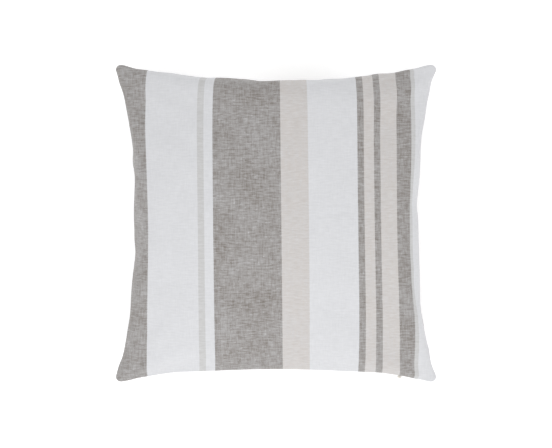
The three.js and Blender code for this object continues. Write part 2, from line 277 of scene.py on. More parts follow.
def put_tubes(name, rings, material, cloth=None):
    """A piece of closed tubes: rings is (tubes, rings, corners, 3), and each end gets a flat cap."""
    tubes, rows, corners, _ = rings.shape
    faces = []
    for start in range(0, tubes * rows * corners, rows * corners):
        faces += grid_faces(rows, corners, wrap=True, start=start).tolist()
        faces.append(list(range(start, start + corners))[::-1])
        last = start + (rows - 1) * corners
        faces.append(list(range(last, last + corners)))
    return put_mesh(name, rings, faces, material, cloth=cloth)


def face_outwards(mesh):
    """Turns a closed mesh's faces outwards, by the sign of the volume that they enclose."""
    mesh.calc_loop_triangles()
    corner = np.zeros(len(mesh.loop_triangles) * 3, np.int32)
    mesh.loop_triangles.foreach_get("vertices", corner)
    points = np.zeros(len(mesh.vertices) * 3)
    mesh.vertices.foreach_get("co", points)
    a, b, c = points.reshape(-1, 3)[corner.reshape(-1, 3)].transpose(1, 0, 2)
    if (a * np.cross(b, c)).sum() < 0:
        mesh.flip_normals()


# ---- Shader maths ----
class Wire:
    """A socket that takes part in arithmetic: each operator adds the Math node that does it."""

    def __init__(self, tree, socket=None):
        self.tree, self.socket = tree, socket

    def node(self, kind, inputs=(), output=0, stops=None, **options):
        """Adds a node: its options are set first, then a ramp's stops, then its sockets."""
        made = self.tree.nodes.new("ShaderNode" + kind)
        for name, value in options.items():
            setattr(made, name, value)
        if stops:
            ramp = made.color_ramp
            ramp.interpolation = "CONSTANT"
            while len(ramp.elements) < len(stops):
                ramp.elements.new(1.0)
            for element, (place, colour) in zip(ramp.elements, stops):
                element.position, element.color = place, (*colour, 1)
        for name, value in dict(inputs).items():
            if isinstance(value, Wire):
                self.tree.links.new(value.socket, made.inputs[name])
            else:
                made.inputs[name].default_value = value
        return Wire(self.tree, made.outputs[output])

    def math(self, operation, *values, clamp=False):
        return self.node("Math", enumerate(values), operation=operation, use_clamp=clamp)

    def __add__(self, other):
        return self.math("ADD", self, other)

    def __sub__(self, other):
        return self.math("SUBTRACT", self, other)

    def __rsub__(self, other):
        return self.math("SUBTRACT", other, self)

    def __mul__(self, other):
        return self.math("MULTIPLY", self, other)

    def __truediv__(self, other):
        return self.math("DIVIDE", self, other)

    __radd__, __rmul__ = __add__, __mul__

    def sin(self):
        return self.math("SINE", self)

    def size(self):
        return self.math("ABSOLUTE", self)

    def clamp(self):
        return self.math("ADD", self, 0.0, clamp=True)

    def noise(self, x, y, z=0.0, detail=2.0, rough=0.5):
        """Noise about 0, from -0.5 to 0.5, at a place given in cells of its pattern."""
        place = self.node("CombineXYZ", {"X": x, "Y": y, "Z": z})
        sockets = {"Vector": place, "Scale": 1.0, "Detail": detail, "Roughness": rough}
        return self.node("TexNoise", sockets) - 0.5

    def mix(self, share, first, second):
        """Mixes two colours."""
        first, second = [
            colour if isinstance(colour, Wire) else (*colour, 1) for colour in (first, second)
        ]
        return self.node("Mix", {0: share, 6: first, 7: second}, output=2, data_type="RGBA")


def finish(name, build, **constants):
    """A material: build takes a Wire and gives the sockets that vary; constants go on the shader."""
    material = bpy.data.materials.new(name)
    material.use_nodes = True
    tree = material.node_tree
    shader = tree.nodes["Principled BSDF"]
    for socket, value in constants.items():
        shader.inputs[socket.replace("_", " ")].default_value = value
    for socket, value in build(Wire(tree)).items():
        tree.links.new(value.socket, shader.inputs[socket])
    return material


def bump(start, height, strength, distance):
    return start.node("Bump", {"Height": height, "Strength": strength, "Distance": distance})


def place_on_cloth(start):
    """Metres across and along the flat cloth, from the middle of the panel."""
    uv = start.node("UVMap", uv_map="cloth")
    return [start.node("SeparateXYZ", {0: uv}, output=axis) - 0.5 for axis in (0, 1)]


def place_on_object(start):
    """Metres along the object's axes."""
    place = start.node("TexCoord", output=3)
    return [start.node("SeparateXYZ", {0: place}, output=axis) for axis in range(3)]


def warp_stops():
    """The stripes as stops of a ramp, from 0 at the left edge of the cloth to 1 at the right."""
    yarns = settings("pillow_yarns")
    total = sum(width for _, width in WARP)
    stops, reached = [], 0.0
    for yarn, width in WARP:
        stops.append((reached / total, tuple(getattr(yarns, yarn))))
        reached += width
    return stops


@functools.cache
def linen():
    """Yarn-dyed plain weave: striped warp, white weft, and slubs that let one or the other show."""

    def build(start):
        yarns = settings("pillow_yarns")
        flat = settings("pillow_cloth").flat_side
        across, along = place_on_cloth(start)
        pitch = yarns.pitch
        thick_warp = start.noise(across / (2.1 * MM), along / (16 * MM), detail=2)
        thick_weft = start.noise(across / (12 * MM), along / (2.3 * MM), detail=2)
        weft_fleck = start.noise(across / (5.5 * MM), along / (2.1 * MM), 9.0, detail=1)
        warp_fleck = start.noise(across / (2.1 * MM), along / (5.5 * MM), 13.0, detail=1)
        cloud = start.noise(across / (60 * MM), along / (45 * MM), 4.0, detail=3)
        fray = start.noise(across / (2.2 * MM), along / (1.1 * MM), 7.0)
        weave = (across * (math.pi / pitch)).sin() * (along * (math.pi / pitch)).sin()
        strand = (across + along * yarns.skew + fray * (0.9 * MM)) / flat + 0.5
        warp = start.node("ValToRGB", {0: strand}, stops=warp_stops())
        slub = ((weft_fleck - 0.13) * 5.0).clamp() + ((warp_fleck - 0.15) * 5.0).clamp()
        share = 0.65 + thick_warp * 0.5 - thick_weft * 0.58 + cloud * 0.35 + weave * 0.12 - slub * 0.32
        colour = start.mix(share.clamp(), yarns.white, warp)
        # Brightness factor: random soft mottling, plus painted shade that follows the bump's height:
        # lighter on thick yarns and the weave's crowns, darker in the hollows between them.
        wear_and_shade = 0.98 + cloud * 0.08 + thick_weft * 0.17 + thick_warp * 0.11 + weave.size() * 0.04
        shade = start.node("CombineColor", {0: wear_and_shade, 1: wear_and_shade, 2: wear_and_shade})
        sockets = {0: 1.0, 6: colour, 7: shade}
        colour = start.node("Mix", sockets, 2, data_type="RGBA", blend_type="MULTIPLY")
        height = weave.size() * 0.6 + thick_warp * 0.9 + thick_weft * 1.3
        normal = bump(start, height, 0.5, 0.35 * MM)
        return {"Base Color": colour, "Roughness": 0.88 + fray * 0.1, "Normal": normal}

    return finish("striped_linen", build, Sheen_Weight=0.16, Sheen_Roughness=0.5, IOR=1.4)


@functools.cache
def cambric():
    """Close-woven white cotton, faintly creased."""

    def build(start):
        x, y, z = place_on_object(start)
        crease = start.noise(x / (14 * MM), y / (11 * MM), z / (12 * MM), detail=4, rough=0.6)
        weave = (x * (TAU / (0.5 * MM))).sin() * (y * (TAU / (0.5 * MM))).sin()
        # Painted shade: the colour follows the crease noise that also sets the bump, darker in the
        # creases' hollows and lighter on their ridges.
        colour = start.mix((crease + 0.5).clamp(), (0.80, 0.79, 0.76), (0.88, 0.87, 0.85))
        normal = bump(start, crease * 3.0 + weave * 0.2, 0.5, 0.5 * MM)
        return {"Base Color": colour, "Roughness": 0.82 + crease * 0.1, "Normal": normal}

    return finish("cotton_cambric", build, Sheen_Weight=0.1)


@functools.cache
def wadding():
    """Loose crimped fibre: soft clumps with fine strands over them."""

    def build(start):
        x, y, z = place_on_object(start)
        clump = start.noise(x / (22 * MM), y / (22 * MM), z / (22 * MM), detail=3)
        strand = start.noise(
            x / (1.2 * MM) + clump * 9.0, y / (5 * MM) + clump * 7.0, z / (2 * MM), detail=5, rough=0.7
        )
        # Painted shade: darker in the hollows between clumps and strands and lighter on their tops,
        # following the same noise as the bump.
        colour = start.mix((clump + strand + 0.5).clamp(), (0.78, 0.78, 0.77), (0.93, 0.93, 0.92))
        normal = bump(start, clump * 3.0 + strand * 1.4, 0.9, 1.2 * MM)
        return {"Base Color": colour, "Roughness": 0.95 + strand * 0.08, "Normal": normal}

    return finish("polyester_wadding", build, Sheen_Weight=0.4)


@functools.cache
def sewing_thread():
    """Spun thread with its twist."""

    def build(start):
        x, y, z = place_on_object(start)
        twist = ((x + y + z * 0.7) * (TAU / (0.45 * MM))).sin()
        # Painted shade: darker in the grooves of the twist and lighter on its ridges, following the bump.
        colour = start.mix(twist * 0.5 + 0.5, (0.66, 0.64, 0.60), (0.80, 0.78, 0.74))
        normal = bump(start, twist, 0.4, 0.06 * MM)
        return {"Base Color": colour, "Roughness": 0.7 + twist * 0.08, "Normal": normal}

    return finish("spun_thread", build, Sheen_Weight=0.2)


@functools.cache
def tape_weave():
    """Herringbone tape: ribs that lean one way and then the other across its width."""

    def build(start):
        across, along = place_on_cloth(start)
        zigzag = start.math("PINGPONG", across, 1.6 * MM)
        rib = ((along + zigzag) * (TAU / (0.9 * MM))).sin()
        fleck = start.noise(across / (0.6 * MM), along / (0.6 * MM))
        # Painted shade: darker in the grooves between the ribs and lighter on their tops, following the
        # bump; the flecks are random tone.
        colour = start.mix(rib * 0.35 + 0.5 + fleck * 0.4, (0.62, 0.60, 0.57), (0.80, 0.78, 0.75))
        normal = bump(start, rib, 0.5, 0.12 * MM)
        return {"Base Color": colour, "Roughness": 0.8 + fleck * 0.1, "Normal": normal}

    return finish("zip_tape_weave", build, Sheen_Weight=0.15)


@functools.cache
def nylon():
    """Milky monofilament with faint draw lines."""

    def build(start):
        x, y, z = place_on_object(start)
        drawn = start.noise(x / (0.5 * MM), y / (0.3 * MM), z / (0.3 * MM), detail=3)
        colour = start.mix((drawn + 0.5).clamp(), (0.76, 0.74, 0.71), (0.86, 0.85, 0.82))
        return {"Base Color": colour, "Roughness": 0.38 + drawn * 0.2}

    return finish("nylon_coil", build, Subsurface_Weight=0.1, Subsurface_Scale=0.5 * MM)


@functools.cache
def enamel():
    """Cream enamel over cast zinc, with orange peel and a little wear."""

    def build(start):
        x, y, z = place_on_object(start)
        peel = start.noise(x / (0.35 * MM), y / (0.35 * MM), z / (0.35 * MM), detail=2)
        wear = start.noise(x / (2.5 * MM), y / (2.5 * MM), z / (2.5 * MM), detail=5, rough=0.7)
        # Random worn patches of the enamel, darker and rougher: real wear, with no painted shade.
        wear_and_shade = ((wear - 0.2) * 9.0).clamp()
        colour = start.mix(wear_and_shade, (0.80, 0.77, 0.71), (0.66, 0.64, 0.60))
        normal = bump(start, peel + wear * 0.6, 0.35, 0.05 * MM)
        return {"Base Color": colour, "Roughness": 0.3 + peel * 0.15 + wear_and_shade * 0.15, "Normal": normal}

    return finish("cream_enamel", build, Coat_Weight=0.3, Coat_Roughness=0.2)


@functools.cache
def label_satin():
    """Blank satin ribbon: long floats across it and selvedges."""

    def build(start):
        across, along = place_on_cloth(start)
        floats = start.noise(across / (1.8 * MM), along / (0.22 * MM), detail=3)
        # Painted shade: lighter on the raised floats and darker between them, following the bump.
        colour = start.mix((floats + 0.5).clamp(), (0.82, 0.81, 0.79), (0.92, 0.915, 0.90))
        normal = bump(start, floats, 0.3, 0.06 * MM)
        return {"Base Color": colour, "Roughness": 0.36 + floats * 0.2, "Normal": normal}

    return finish("label_satin", build, Sheen_Weight=0.1)


# ---- The sewn and stuffed cover ----
def seam_wave(share, seed, waves=(2.7, 4.6, 7.9, 12.6)):
    """A gentle wave along a side, from about -1 to 1: a sum of sines with phases from a seed."""
    phases = np.random.default_rng(seed).uniform(0, TAU, len(waves))
    parts = [np.sin(wave * math.pi * share + phase) for wave, phase in zip(waves, phases)]
    return sum(parts) / len(waves)


def across_rim(along):
    """How far a side stands from the pillow's middle: the arc of the frame's rim."""
    return centre_far - np.sqrt(rim_radius**2 - along**2)


def smooth(share):
    """A share from 0 to 1 with its ends eased: 3 t squared less 2 t cubed."""
    return share * share * (3 - 2 * share)


def beside_zip(x):
    """1 from end to end of the zip, falling to 0 over the stretch where the slit closes."""
    return np.clip((zip_end + SLIT_FADE - np.abs(x)) / SLIT_FADE, 0, 1)


def drawn_rim(u, v):
    """Where the rim lies once the cover is stuffed, for places (u, v) from -1 to 1, one at a limit.

    The top and bottom follow the frame's arc and flare by a square past the zip, and the left and
    right draw in by (1 - w ** 3) of side_draw, where w is |v| scaled to reach 1 at the straight tip.
    The cloth eases outwards along the bottom by a sine. Each side wanders a little in and out and up
    and down, except along the zip, and each corner is rounded to a parabola between its sides, which
    meet a little outside the frame's corner.
    """
    cloth = settings("pillow_cloth")
    corner = half_span + CORNER_PROUD * cloth.tip_reach
    side_x, side_y = np.abs(u) > 1 - 1e-9, np.abs(v) > 1 - 1e-9
    reach = corner - cloth.side_draw * (1 - np.minimum(np.abs(v) * STRAIGHT_TIP, 1) ** SIDE_POWER)
    eased = corner * (u + np.where(v < 0, BOTTOM_EASE, 0.0) * np.sin(math.pi * u))
    x = np.where(side_x, np.sign(u) * reach, eased)
    start = zip_end + SLIT_FADE
    flare = (corner - across_rim(corner)) * (np.maximum(np.abs(x) - start, 0) / (corner - start)) ** 2
    y = np.where(side_y, np.sign(v) * (across_rim(x) + flare), corner * v)
    side = np.select([side_y & (v < 0), side_x & (u > 0), side_y & (v > 0)], [0, 1, 2], 3)
    share = np.where((side == 0) | (side == 2), u, v)
    ease = smooth(np.clip((1 - np.abs(share)) / WANDER_FADE, 0, 1))
    ease = ease * (1 - beside_zip(x) * (side == 0))
    out = np.choose(side, [seam_wave(share, 11 + k) for k in range(4)]) * WANDER * ease
    lift = np.choose(side, [seam_wave(share, 31 + k, (1.3, 3.1, 5.3)) for k in range(4)])
    from_tip = (2 - np.abs(u) - np.abs(v)) * corner
    tip = TIP_CUT * np.maximum(cloth.tip_reach - from_tip, 0) ** 2 / cloth.tip_reach
    x = x + np.sign(u) * (out * side_x - tip)
    y = y + np.sign(v) * (out * side_y - tip)
    return x, y, lift * WANDER_UP * ease


def inflate(cloth):
    """Two squares of cloth sewn round their rim, drawn in to its final shape while pressure fills them.

    Gives the front and the back as grids (n, n, 3), with the height above the seam plane last. The cloth
    starts from plain domes 30 mm high, a little roughened: the product of two cosines.
    """
    count = cloth.cells + 1
    share = np.linspace(-1, 1, count)
    u, v = np.meshgrid(share, share, indexing="ij")
    inside = (np.abs(u) < 1) & (np.abs(v) < 1)
    dome = np.cos(u * math.pi / 2) * np.cos(v * math.pi / 2)
    rough = np.random.default_rng(5).normal(0, 0.3 * MM, (2, count, count)) * inside
    flat = cloth.flat_side / 2
    front, back = [
        np.stack([u * flat, v * flat, way * 30 * MM * dome * inside + rough[layer]], -1)
        for layer, way in ((0, 1), (1, -1))
    ]
    front_index = np.arange(count * count).reshape(count, count)
    back_index = front_index.copy()
    back_index[inside] = count * count + np.arange(inside.sum())
    points = np.concatenate([front.reshape(-1, 3), back[inside]])
    faces = np.concatenate([quads(front_index), quads(back_index)[:, ::-1]])
    mesh = bpy.data.meshes.new("sewn_cloth")
    mesh.from_pydata(points.tolist(), [], faces.tolist())
    sewn = bpy.data.objects.new("sewn_cloth", mesh)
    scene = bpy.context.scene
    scene.collection.objects.link(sewn)
    rim = front_index[~inside]
    sewn.vertex_groups.new(name="rim").add(rim.tolist(), 1.0, "REPLACE")
    sewn.shape_key_add(name="flat")
    drawn = sewn.shape_key_add(name="drawn_in")
    stuffed = points.copy()
    stuffed[rim] = np.stack(drawn_rim(u[~inside], v[~inside]), -1)
    drawn.data.foreach_set("co", stuffed.ravel())
    for value, number in ((0.0, 1), (1.0, 10)):
        drawn.value = value
        drawn.keyframe_insert("value", frame=number)

    modifier = sewn.modifiers.new("cloth", "CLOTH")
    fabric = modifier.settings
    fabric.quality = 6
    fabric.mass = 0.3
    fabric.air_damping = 2.0
    fabric.tension_stiffness = fabric.compression_stiffness = 80
    fabric.shear_stiffness = 10
    fabric.bending_stiffness = cloth.bending
    fabric.bending_damping = 0.5
    fabric.tension_damping = fabric.compression_damping = fabric.shear_damping = 10
    fabric.use_pressure = True
    fabric.uniform_pressure_force = cloth.pressure
    fabric.vertex_group_mass = "rim"
    fabric.effector_weights.gravity = 0
    modifier.collision_settings.use_collision = False
    modifier.point_cache.frame_start, modifier.point_cache.frame_end = 1, cloth.frames
    scene.frame_start, scene.frame_end = 1, cloth.frames
    for number in range(1, cloth.frames + 1):
        scene.frame_set(number)
    shown = sewn.evaluated_get(bpy.context.evaluated_depsgraph_get())
    moved = np.zeros(len(points) * 3)
    shown.data.vertices.foreach_get("co", moved)
    moved = moved.reshape(-1, 3)
    bpy.data.objects.remove(sewn)
    scene.frame_set(1)
    return [moved[front_index], moved[back_index]]


def relax(grid, rounds):
    """Smooths a sheet inside its rim: each point moves halfway to the mean of its four neighbours."""
    grid = grid.copy()
    for _ in range(rounds):
        middle = grid[1:-1, 1:-1]
        near = grid[:-2, 1:-1] + grid[2:, 1:-1] + grid[1:-1, :-2] + grid[1:-1, 2:]
        grid[1:-1, 1:-1] = middle / 2 + near / 8
    return grid


def cubic_weights(count, places):
    """A matrix that samples count evenly spaced values, from -1 to 1, at places by a smooth cubic."""
    spot = (places + 1) / 2 * (count - 1)
    cell = np.clip(np.floor(spot).astype(int), 0, count - 2)
    t = (spot - cell)[:, None]
    shares = np.concatenate(
        [
            -t / 2 + t**2 - t**3 / 2,
            1 - 2.5 * t**2 + 1.5 * t**3,
            t / 2 + 2 * t**2 - 1.5 * t**3,
            -(t**2) / 2 + t**3 / 2,
        ],
        axis=1,
    )
    weights = np.zeros((len(places), count))
    for step in range(4):
        near = np.clip(cell + step - 1, 0, count - 1)
        np.add.at(weights, (np.arange(len(places)), near), shares[:, step])
    return weights


def cloth_places(cloth, cell):
    """Places across the cloth from -1 to 1: even inside, and closer and closer towards the rim."""
    flat = cloth.flat_side / 2
    edge = np.array([0, 0.15, 0.45, 1.0, 1.8, 2.9, 4.4]) * MM
    inner = np.linspace(0, 1 - 6.2 * MM / flat, int(flat / cell))
    half = np.concatenate([inner, 1 - edge[::-1] / flat])
    return np.concatenate([-half[:0:-1], half])


def soft_least(first, second, power=4):
    """The smaller of two lengths, rounded where they are alike."""
    first, second = np.maximum(first, 1e-9), np.maximum(second, 1e-9)
    return (first**-power + second**-power) ** (-1 / power)


def fold_gap(x, y):
    """Height of the folded edge's outermost line over the seam plane: more beside the zip's slit."""
    return SEAM_GAP + smooth(beside_zip(x)) * (y < 0) * SLIT_GAP


def slit_share(x, y):
    """1 on the rim along the zip, 0 past its ends and on the other three sides."""
    return smooth(beside_zip(x)) * (y < -0.98 * across_rim(0))


def evened(place, sheet, axis, band):
    """Spreads the stretch of the cloth evenly over a band along two opposite sides of a panel.

    In the band the place on the flat cloth becomes the share of the band's length over the surface.
    """
    place, sheet = np.moveaxis(place, axis, 0), np.moveaxis(sheet, axis, 0)
    run = np.linalg.norm(np.diff(sheet, axis=0), axis=-1)
    reach = np.concatenate([np.zeros_like(run[:1]), np.cumsum(run, axis=0)])
    edge = int(np.searchsorted(place[:, 0], place[0, 0] + band))
    even = place.copy()
    even[:edge] = place[0] + (place[edge] - place[0]) * reach[:edge] / reach[edge]
    back = reach[-1] - reach
    even[-edge:] = place[-1] - (place[-1] - place[-edge - 1]) * back[-edge:] / back[-edge - 1]
    return np.moveaxis(even, 0, axis)


# Where a seam has tugged the front's stripes aside: its middle across the cloth, its spread, the end
# of the cloth, 1 for the top and -1 for the bottom, and how far the stripes move towards +X.
SEAM_TUGS = (
    (-125 * MM, 85 * MM, 1, 8 * MM),
    (125 * MM, 60 * MM, -1, -4.5 * MM),
)


@functools.cache
def stuffed_sheets():
    """The front and back of the cover: grids of outer points, and of each one's place on flat cloth.

    The simulated sheets are smoothed, sampled finely, raised to the frame's loft and filled out just
    inside the seam: a height h becomes the root of h squared plus the square of plumpness times
    sqrt(s / w) exp(-s / w), at s from the rim. The back is then pressed flat on the floor, with a
    rounded turn. The cloth's length runs bow with the sides by |u| ** 2.5 times cos(pi v), and a tug
    moves them by a bell across the cloth that fades from the seam.
    """
    cloth = settings("pillow_cloth")
    front, back = inflate(cloth)
    places = cloth_places(cloth, cloth.cell_size)
    weights = cubic_weights(cloth.cells + 1, places)
    flat = cloth.flat_side / 2
    u, v = np.meshgrid(places, places, indexing="ij")
    from_rim = soft_least((1 - np.abs(u)) * flat, (1 - np.abs(v)) * flat)
    share = from_rim / FILL_WIDTH
    filled = cloth.plumpness * np.sqrt(share) * np.exp(-share)
    sheets = {}
    for name, grid, way in (("front", front, 1), ("back", back, -1)):
        sheet = np.einsum("ij,jkc,lk->ilc", weights, relax(grid, 9), weights)
        x, y, z = np.moveaxis(sheet, -1, 0)
        z = way * z * crown / np.abs(z).max()
        crease = crease_lines(u * flat, v * flat, 3 if way > 0 else 8)
        z = np.sqrt(np.maximum(z, 0) ** 2 + filled**2) + np.minimum(z, 0) + crease
        height = seam_z + way * (z + fold_gap(x, y) * np.exp(-from_rim / GAP_WIDTH))
        if way < 0:
            height = PRESSED * np.logaddexp(0, height / PRESSED)
            height -= height.min()
        sheet = np.stack([x, y, height], -1)
        across, along = [
            evened(place * flat, sheet, axis, SEAM_BAND) for axis, place in ((0, u), (1, v))
        ]
        across += WARP_BOW * np.sign(u) * np.abs(u) ** 2.5 * np.cos(math.pi * v)
        for mid, spread, end, tug in SEAM_TUGS if way > 0 else ():
            depth = (1 - end * v) * flat
            across -= tug * np.exp(-(((across - mid) / spread) ** 2) - depth / TUG_DEPTH)
        sheets[name] = sheet, across, along
    return sheets


# The middles of the two plainest creases across the cloth; more are scattered over it.
CREASES = ((0.09, 0.015), (0.085, -0.117))


def crease_lines(across, along, seed):
    """Faint soft creases left by folding and by the fill: long, low valleys across the cloth.

    Each is a bell across its line, 3.2 mm wide, times a wide bell along it.
    """
    rng = np.random.default_rng(seed)
    total = np.zeros_like(across)
    for mid_x, mid_y in [*CREASES, *rng.uniform(-0.17, 0.17, (9, 2))]:
        lean, length = rng.normal(0, 0.12), rng.uniform(0.02, 0.05)
        depth = rng.uniform(-1.1, -0.3) * MM
        off = (along - mid_y) - lean * (across - mid_x)
        total += depth * np.exp(-((off / (3.2 * MM)) ** 2) - ((across - mid_x) / length) ** 2)
    return total


def rim_order(count):
    """Indices of a grid's edge points, in order round the rim and anticlockwise from the first."""
    index = np.arange(count * count).reshape(count, count)
    return np.concatenate([index[:-1, 0], index[-1, :-1], index[:0:-1, -1], index[0, :0:-1]])


def sheet_normals(sheet, way):
    """Unit normals of a grid of points, out of the pillow."""
    normal = np.cross(np.gradient(sheet, axis=0), np.gradient(sheet, axis=1)) * way
    return normal / np.maximum(np.linalg.norm(normal, axis=-1, keepdims=True), 1e-12)


def rim_points(sheet):
    """A sheet's edge points in order."""
    return sheet.reshape(-1, 3)[rim_order(len(sheet))]


def rim_inward(rim):
    """Unit vectors in the seam plane, from each point of a closed rim towards the inside."""
    along = np.roll(rim, -1, axis=0) - np.roll(rim, 1, axis=0)
    inward = np.stack([-along[:, 1], along[:, 0], np.zeros(len(rim))], -1)
    return inward / np.linalg.norm(inward, axis=-1, keepdims=True)


# Profile of the cloth that is turned in at the seam: inset from the edge and rise from the seam plane
# in millimetres, along a plain stretch and along the zip.
TURNED_PLAIN = np.array(
    [(0.12, 0.22), (0.5, 0.15), (1.5, 0.15), (3, 0.15), (12, 0.15), (12, 0.95), (3, 0.95), (1.2, 1.0)]
)
TURNED_ZIP = np.array(
    [(0.15, 0.44), (0.9, 0.36), (1.15, 3.2), (2.6, 4.2), (11, 5.4), (10.9, 6.2), (2.4, 5), (0.9, 3.8)]
)
CASING_TURNED = TURNED_PLAIN * (0.66, 0.6)


def panel_shell(sheet, across, along, way, thickness, turned_plain, turned_zip):
    """A panel as one closed skin: its outer face, the cloth turned in at the seam, its inner face.

    The inner face is the outer one moved in by the thickness along its normals, and the turned-in
    cloth is a profile carried round the rim and cut short at the corners.
    """
    count = len(sheet)
    outer = sheet.reshape(-1, 3)
    normals = sheet_normals(sheet, way)
    inner = (sheet - normals * thickness).reshape(-1, 3)
    order = rim_order(count)
    rim = rim_points(sheet)
    starts = np.arange(5) * (count - 1)
    nearest = np.abs(np.arange(len(rim))[:, None] - starts).argmin(1)
    corners = rim[starts[nearest] % len(rim)]
    clip = np.linalg.norm(rim - corners, axis=-1)[:, None] * 0.8 + 0.4 * MM
    share = slit_share(rim[:, 0], rim[:, 1])[:, None, None]
    profile = (turned_plain * (1 - share) + turned_zip * share) * MM
    inset = np.minimum(profile[..., 0], clip)
    rings = rim[:, None] + rim_inward(rim)[:, None] * inset[..., None]
    lift = rim[:, 2] - seam_z - way * fold_gap(rim[:, 0], rim[:, 1])
    rings[..., 2] = seam_z + way * profile[..., 1] + lift[:, None]
    rings = rings.transpose(1, 0, 2)
    rows = len(rings)

    points = np.concatenate([outer, inner, rings.reshape(-1, 3)])
    total = count * count
    ring_index = 2 * total + np.arange(rows * len(order)).reshape(rows, -1)
    chain = np.concatenate([order[None], ring_index, (total + order)[None]])
    chain = np.concatenate([chain, chain[:, :1]], axis=1)
    skin = grid_faces(count, count)
    turned = np.roll(quads(chain), -1, axis=1)
    faces = np.concatenate([skin, skin[:, ::-1] + total, turned])
    if way < 0:
        faces = faces[:, ::-1]

    flat = np.stack([across * way, along], -1).reshape(-1, 2)
    beyond = flat[order][None] * (1 + inset.T[..., None] / np.abs(flat).max())
    cloth = np.concatenate([flat, flat, beyond.reshape(-1, 2)])
    return points, faces, cloth


class PILLOW_OT_cover(bpy.types.Operator):
    """Sews, stuffs and turns out the cover's two linen panels"""

    bl_idname = "pillow.cover"
    bl_label = "Linen cover"

    def execute(self, context):
        cloth = settings("pillow_cloth")
        for name, way in (("front", 1), ("back", -1)):
            points, faces, uv = panel_shell(
                *stuffed_sheets()[name], way, cloth.thickness, TURNED_PLAIN, TURNED_ZIP
            )
            panel = put_mesh(f"linen_{name}", points, faces, linen(), cloth=uv)
            stand_for(panel, f"cover_{name}_panel")
        return {"FINISHED"}


def nested(sheet, side, height):
    """A sheet smoothed and drawn in to the middle, by one share sideways and another in height."""
    centre = np.array([0, 0, seam_z])
    return centre + (relax(sheet, 20) - centre) * np.array([side, side, height])


class PILLOW_OT_insert(bpy.types.Operator):
    """Makes the insert's cotton casing and the fibre in it, nested in the cover"""

    bl_idname = "pillow.insert"
    bl_label = "Insert"

    def execute(self, context):
        coarse = {
            name: [grid[::2, ::2] for grid in grids] for name, grids in stuffed_sheets().items()
        }
        for name, way in (("front", 1), ("back", -1)):
            sheet, across, along = coarse[name]
            inner = nested(sheet, *CASING_SHARE)
            points, faces, uv = panel_shell(
                inner, across, along, way, CASING_CLOTH, CASING_TURNED, CASING_TURNED
            )
            casing = put_mesh(f"casing_{name}", points, faces, cambric(), cloth=uv)
            stand_for(casing, f"insert_{name}_panel")

        top, bottom = [nested(coarse[name][0], *FILLING_SHARE) for name in ("front", "back")]
        count = len(top)
        lumps = seam_wave(across * 9, 3, (1.0, 2.3, 3.1)) * seam_wave(along * 9, 4, (1.2, 1.9, 3.3))
        top[..., 2] -= np.abs(lumps) * LUMPS * (top[..., 2] - seam_z) / crown
        order = rim_order(count)
        points = np.concatenate([top.reshape(-1, 3), bottom.reshape(-1, 3)])
        skin = grid_faces(count, count)
        loop = np.append(order, order[0])
        band = np.stack([loop[:-1], loop[:-1] + count**2, loop[1:] + count**2, loop[1:]], -1)
        faces = np.concatenate([skin, skin[:, ::-1] + count**2, band])
        wad = put_mesh("fibre_wad", points, faces, wadding())
        stand_for(wad, "fibre_filling")
        return {"FINISHED"}


# ---- Threads ----
# A stitch's outline: places along its half length, and the share of the thread's radius there.
SPINDLE = np.array([(-1, 0.35), (-0.8, 0.85), (0, 1), (0.8, 0.85), (1, 0.35)])


def stitch_rings(ends_a, ends_b, radius):
    """Stitches as spindles between pairs of points: rings round the line, fullest in the middle."""
    middle, half = (ends_a + ends_b) / 2, (ends_b - ends_a) / 2
    run = half / np.linalg.norm(half, axis=-1, keepdims=True)
    level = np.cross(run, [0, 0, 1.0])
    level /= np.linalg.norm(level, axis=-1, keepdims=True)
    over = np.cross(level, run)
    angle = np.linspace(0, TAU, 6, endpoint=False)
    circle = level[:, None] * np.cos(angle)[:, None] + over[:, None] * np.sin(angle)[:, None]
    return (
        middle[:, None, None]
        + half[:, None, None] * SPINDLE[:, 0][:, None, None]
        + circle[:, None] * SPINDLE[:, 1][:, None, None] * radius
    )


STITCH_SPAN = (0.12, 0.88)  # of its share of the seam, where a stitch lies on the surface


def even_stops(path, spacing):
    """Starts and ends of stitches at a spacing along a closed path."""
    closed = np.concatenate([path, path[:1]])
    reach = np.concatenate([[0], np.cumsum(np.linalg.norm(np.diff(closed, axis=0), axis=1))])
    starts = np.arange(0, reach[-1] - spacing, spacing)
    return [
        np.stack([np.interp(starts + at * spacing, reach, closed[:, axis]) for axis in range(3)], -1)
        for at in STITCH_SPAN
    ]


class PILLOW_OT_seams(bpy.types.Operator):
    """Sews both seams with lockstitch, on both faces of the turned-in cloth"""

    bl_idname = "pillow.seams"
    bl_label = "Seam stitches"

    def execute(self, context):
        sewing = settings("pillow_zip")
        front = stuffed_sheets()["front"][0]
        casing = nested(front[::2, ::2], *CASING_SHARE)
        for name, node, sheet, inset, rise, opens in (
            ("cover_lockstitch", "cover_seam_thread", front, 1.9 * MM, 1.05 * MM, True),
            ("insert_lockstitch", "insert_seam_thread", casing, 1.5 * MM, 0.62 * MM, False),
        ):
            path = rim_points(sheet) + rim_inward(rim_points(sheet)) * inset
            rows = []
            for way in (1, -1):
                level = path + (0, 0, way * rise - SEAM_GAP)
                first, last = even_stops(level, sewing.stitch)
                x, y, _ = ((first + last) / 2).T
                sewn = (slit_share(x, y) < 0.5) | (not opens)
                rows.append(stitch_rings(first[sewn], last[sewn], sewing.thread))
            stand_for(put_tubes(name, np.concatenate(rows), sewing_thread()), node)
        return {"FINISHED"}


# ---- Zip ----
def on_zip_arc(along, inset, rise):
    """Points from places along the zip's arc, insets from it and rises over the seam plane."""
    along, inset, rise = np.broadcast_arrays(along, inset, rise)
    turn = along / rim_radius
    out = rim_radius + inset
    return np.stack([out * np.sin(turn), out * np.cos(turn) - centre_far, seam_z + rise], -1)


